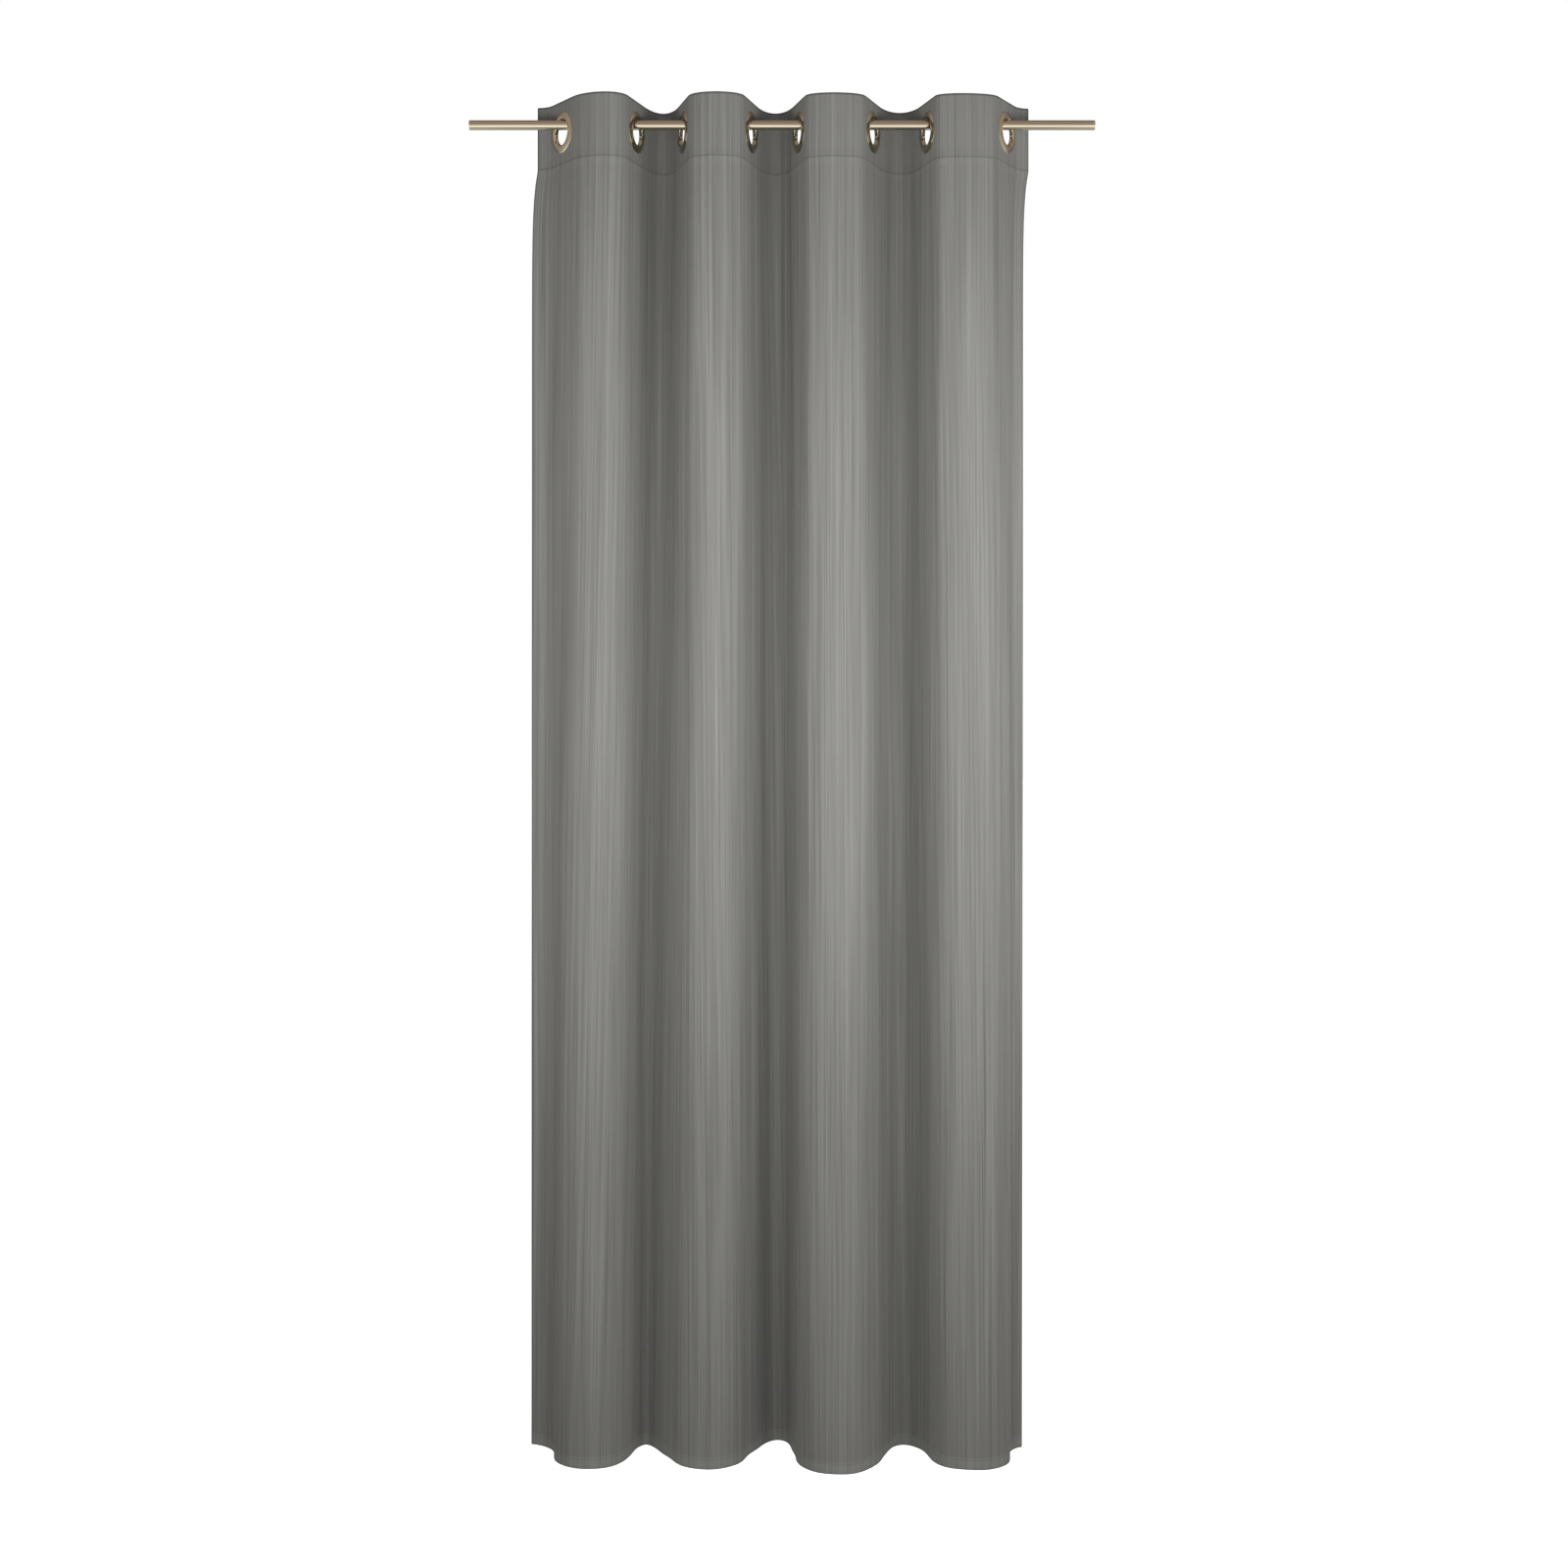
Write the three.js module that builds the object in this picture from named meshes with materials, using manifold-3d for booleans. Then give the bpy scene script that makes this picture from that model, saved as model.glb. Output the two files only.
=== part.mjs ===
// An eyelet curtain panel on its rod.
//
// The frame: the origin is on the rod's axis, halfway along it. +X runs along the rod to the right,
// +Y points away from the room, so the front of the cloth faces -Y, and +Z is up. Millimetres.
//
// The cloth is described twice. Laid flat, a point of it is (s, depth, n): s across the width from
// the left edge, depth down from the top edge, and n through the thickness from the front face to
// the back. Hung, the same point lies on the waves that the eyelets hold. Every soft piece is cut
// flat, as on a cutting table, and then hung by the same rule, so its layers never cross.

import * as THREE from "three";
import { mergeVertices } from "three/addons/utils/BufferGeometryUtils.js";
import Module from "manifold-3d";

const wasm = await Module();
wasm.setup();

// ---------------------------------------------------------------- driving dimensions

// the rod, a plain tube cut square
const ROD_LENGTH = 1040;
const ROD_DIAMETER = 16;
const ROD_WALL = 1.2;
const ROD_SIDES = 32;

// the panel, finished and laid flat
const PANEL_WIDTH = 1400;
const PANEL_DROP = 2250;
const CLOTH = 0.8; // one layer of cloth
const HEADING_DEPTH = 106; // how far the top edge is turned down behind
const BOTTOM_HEM = 20;
const SIDE_HEM = 25;
const SEAM_INSET = 3; // how far inside a hem's turned edge its line of stitches runs
const HEM_LAYERS = 3; // a hem is turned twice, so it is three layers thick
const BUCKRAM = 0.8; // the stiff tape inside the heading
const THREAD = 0.5;

// the care label sewn behind the left side hem, blank
const LABEL_WIDTH = 30;
const LABEL_HEIGHT = 55;
const LABEL_THICKNESS = 0.4;
const LABEL_INSET = 4; // from the side edge
const LABEL_ABOVE_HEM = 120;

// the eyelets: a front ring with a barrel, and a back ring that snaps over the barrel
const EYELET_COUNT = 8;
const EYELET_HOLE_RADIUS = 21;
const EYELET_OUTER_RADIUS = 34;
const EYELET_BARREL_WALL = 1.2;
const EYELET_SHEET = 0.9; // the metal that the flanges are pressed from
const FLANGE_CREST = 0.45; // where across its width a flange is highest
const EYELET_FRONT_HEIGHT = 3; // how far the front flange stands off the cloth
const EYELET_BACK_HEIGHT = 2.2;
const EYELET_BACK_INSET = 1.5; // the back ring is this much smaller in radius
const EYELET_BELOW_TOP = 52.5; // eyelet centre below the top edge
const EYELET_FROM_SIDE = 66; // the outer eyelets' centres, in from the side edges
const RING_SIDES = 20;

// clearances
const GAP = 0.3; // between pieces that touch
const ROD_CLEARANCE = 0.5; // between the rod's top and the top of an eyelet's hole

// How the panel hangs in plan at the heading: how wide each fold is opened, as a share of the length
// of its cloth, and the angle of the cloth to the rod where it crosses it, at each eyelet.
const HEADING_OPENING = [0.814, 0.535, 0.821, 0.557, 0.883, 0.629, 0.919];
const HEADING_ANGLES = [55, 72, 74, 73.5, 74, 68.5, 73, 60.5];
const HEADING_SHIFTS = [0, 0, 0, 0, 0, 0, 0, 0];
const HEADING_CENTRE = 4; // the middle of the eyelets, along the rod
const HEADING_SETBACK = 0; // how far behind the rod's axis the cloth crosses it
const HEADING_END_TURNS = [58, 60]; // how far each free edge curls round, in degrees

// The same folds at the hem, where no eyelet holds them, so each has drifted across the cloth.
const HEM_OPENING = [0.747, 0.503, 0.76, 0.472, 0.665, 0.573, 0.734];
const HEM_ANGLES = [82, 75, 64, 70, 83, 74, 75, 88];
const HEM_SHIFTS = [15, 14, -33, -28, -26, 28, -10, 9];
const HEM_CENTRE = 0;
const HEM_SETBACK = -14;
const HEM_STRAIGHT = 12; // half of the straight stretch of each fold's side at the hem
const HEM_END_TURNS = [72, 76];

// how finely the folds are divided
const FOLD_STEPS = 8; // in each crest or hollow
const DROP_ROWS = 7; // between the heading and the bottom hem

// ---------------------------------------------------------------- worked out from these

const TOP = EYELET_BELOW_TOP + ROD_DIAMETER / 2 + ROD_CLEARANCE - EYELET_HOLE_RADIUS;
const PITCH = (PANEL_WIDTH - 2 * EYELET_FROM_SIDE) / (EYELET_COUNT - 1);
const EYELET_FLAT = EYELET_OUTER_RADIUS + 1; // the cloth stays flat this far round an eyelet's centre
const BARREL_RADIUS = EYELET_HOLE_RADIUS + EYELET_BARREL_WALL;
const CLOTH_HOLE_RADIUS = BARREL_RADIUS + GAP;
const POCKET = BUCKRAM + 2 * GAP; // the room for the buckram between the heading's two layers
const HEADING_THICKNESS = 2 * CLOTH + POCKET;
const HEADING_SEAM = HEADING_DEPTH - SEAM_INSET;
const BOTTOM_SEAM = BOTTOM_HEM - SEAM_INSET;
const SIDE_SEAM = SIDE_HEM - SEAM_INSET;
const HEM_THICKNESS = HEM_LAYERS * CLOTH;
const eyeletNumbers = Array.from({ length: EYELET_COUNT }, (_, k) => k);
const eyeletAcross = eyeletNumbers.map((k) => EYELET_FROM_SIDE + k * PITCH);

// ---------------------------------------------------------------- the folds in plan

const radians = THREE.MathUtils.degToRad;
const direction = (angle) => new THREE.Vector2(Math.cos(angle), Math.sin(angle));
const along = (point, way, length) => point.clone().addScaledVector(way, length);

// A fold from one straight stretch to the next: a cubic whose handles are as long as its arc needs.
function foldBetween(start, startWay, end, endWay, length) {
  const curve = (handle) =>
    new THREE.CubicBezierCurve(start, along(start, startWay, handle), along(end, endWay, -handle), end);
  let short = 0;
  let long = length;
  for (let step = 0; step < 40; step += 1) {
    const middle = (short + long) / 2;
    if (curve(middle).getLength() < length) short = middle;
    else long = middle;
  }
  return curve(long);
}

// A free end of the cloth: an arc that curls clockwise in plan, from one tangent angle to another,
// and meets the rest at the junction.
function curl(junction, junctionAngle, fromAngle, toAngle, length) {
  const radius = length / (fromAngle - toAngle);
  const quarter = Math.PI / 2;
  const centre = along(junction, direction(junctionAngle - quarter), radius);
  const ends = [fromAngle + quarter, toAngle + quarter];
  return new THREE.EllipseCurve(centre.x, centre.y, radius, radius, ...ends, true);
}

// The whole outline, from the left edge to the right, as a path as long as the panel is wide.
function foldedOutline({ opening, angles, shifts, centre, setback, straight, endTurns }) {
  const across = eyeletAcross.map((s, k) => s + shifts[k]);
  const lengths = opening.map((_, k) => across[k + 1] - across[k] - 2 * straight);
  const leans = angles.map((angle) => straight * Math.cos(radians(angle)));
  const gaps = opening.map((share, k) => leans[k] + share * lengths[k] + leans[k + 1]);
  const width = gaps.reduce((sum, gap) => sum + gap, 0);
  let x = centre - width / 2;
  const crossings = [new THREE.Vector2(x, setback)];
  for (const gap of gaps) {
    x += gap;
    crossings.push(new THREE.Vector2(x, setback));
  }
  // even crossings run towards the room, odd ones away from it
  const tangents = angles.map((angle, k) => radians(k % 2 ? angle : -angle));
  const ways = tangents.map(direction);
  const starts = crossings.map((crossing, k) => along(crossing, ways[k], -straight));
  const ends = crossings.map((crossing, k) => along(crossing, ways[k], straight));
  const last = crossings.length - 1;
  const [first, final] = [tangents[0], tangents[last]];
  const leftEnd = across[0] - straight;
  const rightEnd = PANEL_WIDTH - across[last] - straight;
  const path = new THREE.CurvePath();
  path.add(curl(starts[0], first, first + radians(endTurns[0]), first, leftEnd));
  crossings.forEach((_, k) => {
    path.add(new THREE.LineCurve(starts[k], ends[k]));
    if (k === last) return;
    path.add(foldBetween(ends[k], ways[k], starts[k + 1], ways[k + 1], lengths[k]));
  });
  path.add(curl(ends[last], final, final, final - radians(endTurns[1]), rightEnd));
  return path;
}

const headingOutline = foldedOutline({
  opening: HEADING_OPENING,
  angles: HEADING_ANGLES,
  shifts: HEADING_SHIFTS,
  centre: HEADING_CENTRE,
  setback: HEADING_SETBACK,
  straight: EYELET_FLAT,
  endTurns: HEADING_END_TURNS,
});

const hemOutline = foldedOutline({
  opening: HEM_OPENING,
  angles: HEM_ANGLES,
  shifts: HEM_SHIFTS,
  centre: HEM_CENTRE,
  setback: HEM_SETBACK,
  straight: HEM_STRAIGHT,
  endTurns: HEM_END_TURNS,
});

// Where the cloth hangs in plan: the stiff heading keeps its outline, and below it the folds change
// evenly towards those of the hem.
function planAt(s, depth) {
  const share = Math.max(0, depth - HEADING_DEPTH) / (PANEL_DROP - HEADING_DEPTH);
  const t = THREE.MathUtils.clamp(s / PANEL_WIDTH, 0, 1);
  return headingOutline.getPoint(t).lerp(hemOutline.getPoint(t), share);
}

// The unit vector through the cloth from its front to its back, in plan.
function throughCloth(s, depth) {
  const reach = 0.5;
  const before = planAt(Math.max(0, s - reach), depth);
  const after = planAt(Math.min(PANEL_WIDTH, s + reach), depth);
  const way = after.sub(before).normalize();
  return new THREE.Vector2(-way.y, way.x);
}

// The outline is the middle of the heading's thickness.
function hungPoint(s, depth, n) {
  const offset = n - HEADING_THICKNESS / 2;
  const plan = planAt(s, depth).addScaledVector(throughCloth(s, depth), offset);
  return new THREE.Vector3(plan.x, plan.y, TOP - depth);
}

// ---------------------------------------------------------------- cutting flat and hanging

// The columns of the cloth: both ends of each straight stretch, the steps of each fold, and the
// edges of the side hems, the seams and the label.
function clothColumns() {
  const fromEdge = [SIDE_HEM / 2, SIDE_SEAM, SIDE_SEAM + THREAD, SIDE_HEM, SIDE_HEM + GAP];
  const columns = fromEdge.concat(fromEdge.map((s) => PANEL_WIDTH - s));
  columns.push(LABEL_INSET, LABEL_INSET + LABEL_WIDTH);
  const step = (PITCH - 2 * EYELET_FLAT) / FOLD_STEPS;
  eyeletAcross.forEach((s, k) => {
    columns.push(s - EYELET_FLAT, s + EYELET_FLAT);
    if (k === EYELET_COUNT - 1) return;
    for (let i = 1; i < FOLD_STEPS; i += 1) columns.push(s + EYELET_FLAT + i * step);
  });
  const sorted = columns.sort((a, b) => a - b);
  return sorted.filter((s, i) => i === 0 || s - sorted[i - 1] > GAP / 2);
}

// The rows of the cloth, as depths: the heading hangs straight, so it needs none inside it.
function clothRows() {
  const step = (PANEL_DROP - HEADING_DEPTH - BOTTOM_HEM) / DROP_ROWS;
  return Array.from({ length: DROP_ROWS + 1 }, (_, i) => HEADING_DEPTH + i * step);
}

const COLUMNS = clothColumns();
const ROWS = clothRows();

// the lines of the cloth's grid from one place to another, both included
const linesBetween = (lines, from, to) => [
  from,
  ...lines.filter((line) => line > from + GAP / 2 && line < to - GAP / 2),
  to,
];

// A box's back squares are split along the other diagonal. Splitting them like the front ones keeps
// a bent layer equally thick, and neighbouring layers apart.
function splitBackLikeFront(box) {
  const { start, count } = box.groups[5];
  const index = box.index.array;
  for (let i = start; i < start + count; i += 6) {
    const [a, b, d, , c] = index.slice(i, i + 6);
    index.set([a, b, c, a, c, d], i);
  }
}

// A slab of cloth, one square for each column and row, whose corners are then hung. Each row gives
// its outer and its inner corner as [n, depth], for the column at s.
function hungSlab(columns, rows) {
  const [wide, high] = [columns.length - 1, rows.length - 1];
  const slab = new THREE.BoxGeometry(wide, high, 1, wide, high, 1);
  splitBackLikeFront(slab);
  const position = slab.getAttribute("position");
  for (let i = 0; i < position.count; i += 1) {
    const s = columns[Math.round(position.getX(i) + wide / 2)];
    const { outer, inner } = rows[Math.round(high / 2 - position.getY(i))](s);
    const [n, depth] = position.getZ(i) > 0 ? outer : inner;
    const hung = hungPoint(s, depth, n);
    position.setXYZ(i, hung.x, hung.y, hung.z);
  }
  slab.computeVertexNormals();
  return slab;
}

// A plain layer, such as a tape or a label. across, down and through are its ends in s, depth and n.
function hungLayer(across, down, through) {
  const [outer, inner] = through;
  const rows = linesBetween(ROWS, ...down).map((depth) => () => ({
    outer: [outer, depth],
    inner: [inner, depth],
  }));
  return hungSlab(linesBetween(COLUMNS, ...across), rows);
}

// ---------------------------------------------------------------- joining and cutting

function solidFrom(geometry) {
  const plain = geometry.clone();
  plain.deleteAttribute("normal");
  plain.deleteAttribute("uv");
  const merged = mergeVertices(plain, 1e-4);
  return new wasm.Manifold(
    new wasm.Mesh({
      numProp: 3,
      vertProperties: new Float32Array(merged.getAttribute("position").array),
      triVerts: new Uint32Array(merged.index.array),
    }),
  );
}

function geometryFrom(solid) {
  const mesh = solid.getMesh();
  const geometry = new THREE.BufferGeometry();
  geometry.setAttribute("position", new THREE.BufferAttribute(mesh.vertProperties, 3));
  geometry.setIndex(new THREE.BufferAttribute(mesh.triVerts, 1));
  geometry.computeVertexNormals();
  return geometry;
}

// Turns a shape made round the Y axis so that its +Y points through the cloth, front to back, at an
// eyelet, and its origin is on the cloth's front face.
function eyeletPlacement(k) {
  const s = eyeletAcross[k];
  const through = throughCloth(s, EYELET_BELOW_TOP);
  const back = new THREE.Vector3(through.x, through.y, 0);
  const turn = new THREE.Quaternion().setFromUnitVectors(new THREE.Vector3(0, 1, 0), back);
  const spin = new THREE.Matrix4().makeRotationFromQuaternion(turn);
  return spin.setPosition(hungPoint(s, EYELET_BELOW_TOP, 0));
}

// Cuts the round holes for the barrels.
function withEyeletHoles(solid) {
  return eyeletNumbers.reduce((cut, k) => {
    const punch = new THREE.CylinderGeometry(
      CLOTH_HOLE_RADIUS,
      CLOTH_HOLE_RADIUS,
      6 * HEADING_THICKNESS,
      RING_SIDES,
    );
    return cut.subtract(solidFrom(punch.applyMatrix4(eyeletPlacement(k))));
  }, solid);
}

// ---------------------------------------------------------------- materials

const finish = (color, roughness, metalness) =>
  new THREE.MeshStandardMaterial({ color, roughness, metalness });

const clothFinish = finish(0x82827e, 0.92, 0);
const buckramFinish = finish(0xe4e1d8, 0.9, 0);
const threadFinish = finish(0x6c6c69, 0.8, 0);
const labelFinish = finish(0xf2f1ec, 0.75, 0);
const rodFinish = finish(0xb7a995, 0.32, 1);
const eyeletFinish = finish(0xb5a88a, 0.18, 1);

// ---------------------------------------------------------------- the pieces

function piece(name, geometry, material) {
  const mesh = new THREE.Mesh(geometry, material);
  mesh.name = name;
  return mesh;
}

// a tube: its wall is a closed profile spun round the Y axis, then laid along X
function rod() {
  const outer = ROD_DIAMETER / 2;
  const inner = outer - ROD_WALL;
  const half = ROD_LENGTH / 2;
  const wall = [
    [inner, -half],
    [outer, -half],
    [outer, half],
    [inner, half],
    [inner, -half],
  ];
  const tube = new THREE.LatheGeometry(wall.map(([r, y]) => new THREE.Vector2(r, y)), ROD_SIDES);
  const mesh = piece("rod", tube, rodFinish);
  mesh.rotation.z = Math.PI / 2;
  return mesh;
}

// The cloth, one slab from the end of the heading's turned-down layer, up behind, over the top and
// down the front to the bottom. The turned layers of its other hems only make it thicker there. The
// heading's pocket is open along its lower edge, where only stitches close it.
function panelCloth() {
  const facing = CLOTH + POCKET; // the front of the turned-down layer
  const hemTop = PANEL_DROP - BOTTOM_HEM;
  const inSideHem = (s) => s <= SIDE_HEM || s >= PANEL_WIDTH - SIDE_HEM;
  const turned = (outer, inner) => () => ({ outer, inner });
  const single = (depth) => (s) => ({
    outer: [0, depth],
    inner: [inSideHem(s) ? HEM_THICKNESS : CLOTH, depth],
  });
  const rows = [
    turned([HEADING_THICKNESS, HEADING_DEPTH], [facing, HEADING_DEPTH]),
    turned([HEADING_THICKNESS, 0], [facing, CLOTH]),
    turned([0, 0], [CLOTH, CLOTH]),
    turned([0, HEADING_DEPTH], [CLOTH, HEADING_DEPTH]),
    ...linesBetween(ROWS, HEADING_DEPTH + GAP, hemTop - GAP).map(single),
    turned([0, hemTop], [HEM_THICKNESS, hemTop]),
    turned([0, PANEL_DROP], [HEM_THICKNESS, PANEL_DROP]),
  ];
  const cloth = solidFrom(hungSlab(linesBetween(COLUMNS, 0, PANEL_WIDTH), rows));
  return piece("panel_cloth", geometryFrom(withEyeletHoles(cloth)), clothFinish);
}

// the stiff tape that keeps the heading's waves, in its pocket
function headingBuckram() {
  const across = [SIDE_HEM + GAP, PANEL_WIDTH - SIDE_HEM - GAP];
  const front = CLOTH + GAP;
  const tape = hungLayer(across, [CLOTH + GAP, HEADING_SEAM - GAP], [front, front + BUCKRAM]);
  return piece("heading_buckram", geometryFrom(withEyeletHoles(solidFrom(tape))), buckramFinish);
}

// a line of stitches, as the strand that lies on the front of the cloth
function seam(name, across, down) {
  return piece(name, hungLayer(across, down, [-GAP - THREAD, -GAP]), threadFinish);
}

function seams() {
  const across = [GAP, PANEL_WIDTH - GAP];
  const bottom = PANEL_DROP - BOTTOM_SEAM;
  const down = [HEADING_SEAM + THREAD + GAP, bottom - GAP];
  const right = PANEL_WIDTH - SIDE_SEAM;
  return [
    seam("heading_seam", across, [HEADING_SEAM, HEADING_SEAM + THREAD]),
    seam("bottom_hem_seam", across, [bottom, bottom + THREAD]),
    seam("left_hem_seam", [SIDE_SEAM, SIDE_SEAM + THREAD], down),
    seam("right_hem_seam", [right - THREAD, right], down),
  ];
}

function careLabel() {
  const across = [LABEL_INSET, LABEL_INSET + LABEL_WIDTH];
  const lower = PANEL_DROP - BOTTOM_HEM - LABEL_ABOVE_HEM;
  const front = HEM_THICKNESS + GAP;
  const label = hungLayer(across, [lower - LABEL_HEIGHT, lower], [front, front + LABEL_THICKNESS]);
  return piece("care_label", label, labelFinish);
}

// The profile of a domed flange, as [radius, height off the cloth], from its inner lip to its rim.
function dome(inner, outer, height) {
  const width = outer - inner;
  return [
    [inner, 0.4 * height],
    [inner + 0.18 * width, 0.85 * height],
    [inner + FLANGE_CREST * width, height],
    [inner + 0.8 * width, 0.8 * height],
    [outer, 0.3 * height],
  ];
}

// the hollow underside of a pressed flange, in the same way but from its rim to its inner lip
function hollow(inner, outer, height) {
  const room = height - EYELET_SHEET;
  return [
    [outer - EYELET_SHEET, 0],
    [inner + FLANGE_CREST * (outer - inner), room],
    [inner, 0.3 * room],
  ];
}

const ring = (profile) =>
  new THREE.LatheGeometry(
    [...profile, profile[0]].map(([r, y]) => new THREE.Vector2(r, y)),
    RING_SIDES,
  );

// the front half: a domed flange on the face of the cloth, and the barrel through it
function eyeletFront(k) {
  const face = -GAP;
  const flange = dome(EYELET_HOLE_RADIUS, EYELET_OUTER_RADIUS, EYELET_FRONT_HEIGHT);
  const underside = hollow(BARREL_RADIUS, EYELET_OUTER_RADIUS, EYELET_FRONT_HEIGHT);
  const barrelEnd = HEADING_THICKNESS + GAP + EYELET_BACK_HEIGHT / 2;
  const profile = [
    [EYELET_HOLE_RADIUS, barrelEnd],
    ...flange.map(([r, height]) => [r, face - height]),
    [EYELET_OUTER_RADIUS, face],
    ...underside.map(([r, height]) => [r, face - height]),
    [BARREL_RADIUS, barrelEnd],
  ];
  const mesh = piece(`eyelet_${k + 1}_front`, ring(profile), eyeletFinish);
  mesh.applyMatrix4(eyeletPlacement(k));
  return mesh;
}

// the back half: a domed ring round the barrel, behind the cloth
function eyeletBack(k) {
  const face = HEADING_THICKNESS + GAP;
  const inner = BARREL_RADIUS + GAP;
  const outer = EYELET_OUTER_RADIUS - EYELET_BACK_INSET;
  const flange = dome(inner, outer, EYELET_BACK_HEIGHT).reverse();
  const underside = hollow(inner, outer, EYELET_BACK_HEIGHT).reverse();
  const profile = [...underside, [outer, 0], ...flange].map(([r, height]) => [r, face + height]);
  const mesh = piece(`eyelet_${k + 1}_back`, ring(profile), eyeletFinish);
  mesh.applyMatrix4(eyeletPlacement(k));
  return mesh;
}

// ---------------------------------------------------------------- the assembly

const panel = new THREE.Group();
panel.add(panelCloth(), headingBuckram(), ...seams(), careLabel());

const eyelets = eyeletNumbers.map((k) => {
  const eyelet = new THREE.Group();
  eyelet.add(eyeletFront(k), eyeletBack(k));
  return eyelet;
});

const curtain = new THREE.Group();
curtain.add(rod(), panel, ...eyelets);

export default curtain;
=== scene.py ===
# %% [markdown]
# # An eyelet curtain panel, made soft
#
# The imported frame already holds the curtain's engineering: a rod, a folded cloth, its seams and
# eight eyelets, each at its true place and size. This lesson keeps those places and makes what the
# eye wants: cloth that falls in smooth folds, real stitches, pressed and polished eyelets.
#
# Everything is in metres in the frame's own axes. +X runs along the rod to the right, +Y points
# away from the room, +Z is up, and the origin is on the rod's axis, halfway along it.

# %% Load the frame
import math

import bmesh
import bpy
import numpy as np
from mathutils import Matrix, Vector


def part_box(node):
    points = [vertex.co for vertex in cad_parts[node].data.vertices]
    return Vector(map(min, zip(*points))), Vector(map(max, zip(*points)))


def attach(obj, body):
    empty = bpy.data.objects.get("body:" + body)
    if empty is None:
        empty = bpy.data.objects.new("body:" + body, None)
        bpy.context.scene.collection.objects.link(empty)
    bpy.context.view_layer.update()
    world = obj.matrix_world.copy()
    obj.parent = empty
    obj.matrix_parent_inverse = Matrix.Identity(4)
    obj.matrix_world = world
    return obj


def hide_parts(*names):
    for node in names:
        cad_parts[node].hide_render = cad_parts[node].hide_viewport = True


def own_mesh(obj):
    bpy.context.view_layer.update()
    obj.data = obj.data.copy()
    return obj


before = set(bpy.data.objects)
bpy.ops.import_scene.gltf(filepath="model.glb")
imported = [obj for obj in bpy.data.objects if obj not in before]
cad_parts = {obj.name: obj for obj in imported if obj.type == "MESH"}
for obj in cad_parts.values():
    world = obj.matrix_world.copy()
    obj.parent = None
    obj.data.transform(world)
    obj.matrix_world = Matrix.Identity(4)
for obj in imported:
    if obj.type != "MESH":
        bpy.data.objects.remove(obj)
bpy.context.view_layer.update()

# %% [markdown]
# ## The camera
#
# A tall object looks right when the camera stands level with its middle and looks straight ahead:
# upright edges then stay upright. The view is moved down a little with the lens's shift, as a
# view camera does it, instead of by tilting.

# %% Camera
MM = 0.001  # one millimetre
LENS = 48.31
VIEW_SHIFT = -0.0625
STANDS_AT = (3.3 * MM, -3500 * MM, -932.8 * MM)
scene = bpy.context.scene

camera_data = bpy.data.cameras.new("camera")
camera_data.sensor_width = 36
camera_data.lens = LENS
camera_data.shift_y = VIEW_SHIFT
camera = bpy.data.objects.new("camera", camera_data)
camera.location = STANDS_AT
camera.rotation_euler = (math.radians(90), 0, 0)
scene.collection.objects.link(camera)
scene.camera = camera
print("camera at", tuple(camera.location))

# %% [markdown]
# ## Light
#
# Folds are only visible through their shadows. A light beside the camera reaches the floor of each
# fold, and lights to its sides reach only the crests and one wall each, so the front light gives
# about half of the whole and the sides share the rest, the right one more than the left. All are
# soft, and a little above the middle of the panel. They stand close, so the light falls off
# towards the top and the hem. Two lights behind the panel show its back in other views.

# %% Lights
LIGHT_HEIGHT = -0.82
LIGHT_SIZE = 0.8
IN_FRONT = 1.75  # how far the lights stand from the middle of the panel
BEHIND = 1.9


def soft_light(name, azimuth, distance, power):
    """A square area light on a circle round the panel's middle. Azimuth 0 is the camera's side."""
    data = bpy.data.lights.new(name, "AREA")
    data.size = LIGHT_SIZE
    data.energy = power
    light = bpy.data.objects.new(name, data)
    turn = math.radians(azimuth)
    light.location = (distance * math.sin(turn), -distance * math.cos(turn), LIGHT_HEIGHT)
    light.rotation_euler = (math.radians(90), 0, turn)
    light.visible_glossy = False  # the metal reflects the world instead
    scene.collection.objects.link(light)
    return light


soft_light("front_light", 3, IN_FRONT, 16.5)
soft_light("right_light", 42, IN_FRONT, 11)
soft_light("left_light", -44, IN_FRONT, 9.5)
soft_light("far_right_light", 75, IN_FRONT, 4.5)
soft_light("back_light", 175, BEHIND, 20)
soft_light("back_side_light", 135, BEHIND, 12)

# %% [markdown]
# ## What the metal reflects
#
# Polished metal shows its surroundings more than its own colour. So the world holds a gradient
# that only shiny rays meet: dark olive underfoot, bright a little higher, warm from the level up,
# and dim behind the panel. Cloth is lit by a weak even grey instead, and the camera sees plain
# white.

# %% Helpers for shader nodes
def new_node(tree, kind, **settings):
    """A node of that kind. Settings are its properties, or its inputs by name or number."""
    node = tree.nodes.new("ShaderNode" + kind)
    for name, value in settings.items():
        if hasattr(node, name):
            setattr(node, name, value)
        else:
            node.inputs[name.replace("_", " ")].default_value = value
    return node


def colour_ramp(tree, stops, smooth=True):
    """A colour ramp through stops of (position, (red, green, blue))."""
    ramp = tree.nodes.new("ShaderNodeValToRGB")
    ramp.color_ramp.interpolation = "B_SPLINE" if smooth else "LINEAR"
    elements = ramp.color_ramp.elements
    while len(elements) < len(stops):
        elements.new(0.5)
    for element, (position, colour) in zip(elements, stops):
        element.position = position
        element.color = (*colour, 1)
    return ramp


print("shader helpers are ready")

# %% World
AMBIENT = 0.11
DIM_BEHIND = 0.12  # what is left of the gradient straight behind the panel
DIM_FROM, DIM_TO = 0.2, 1.0

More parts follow.
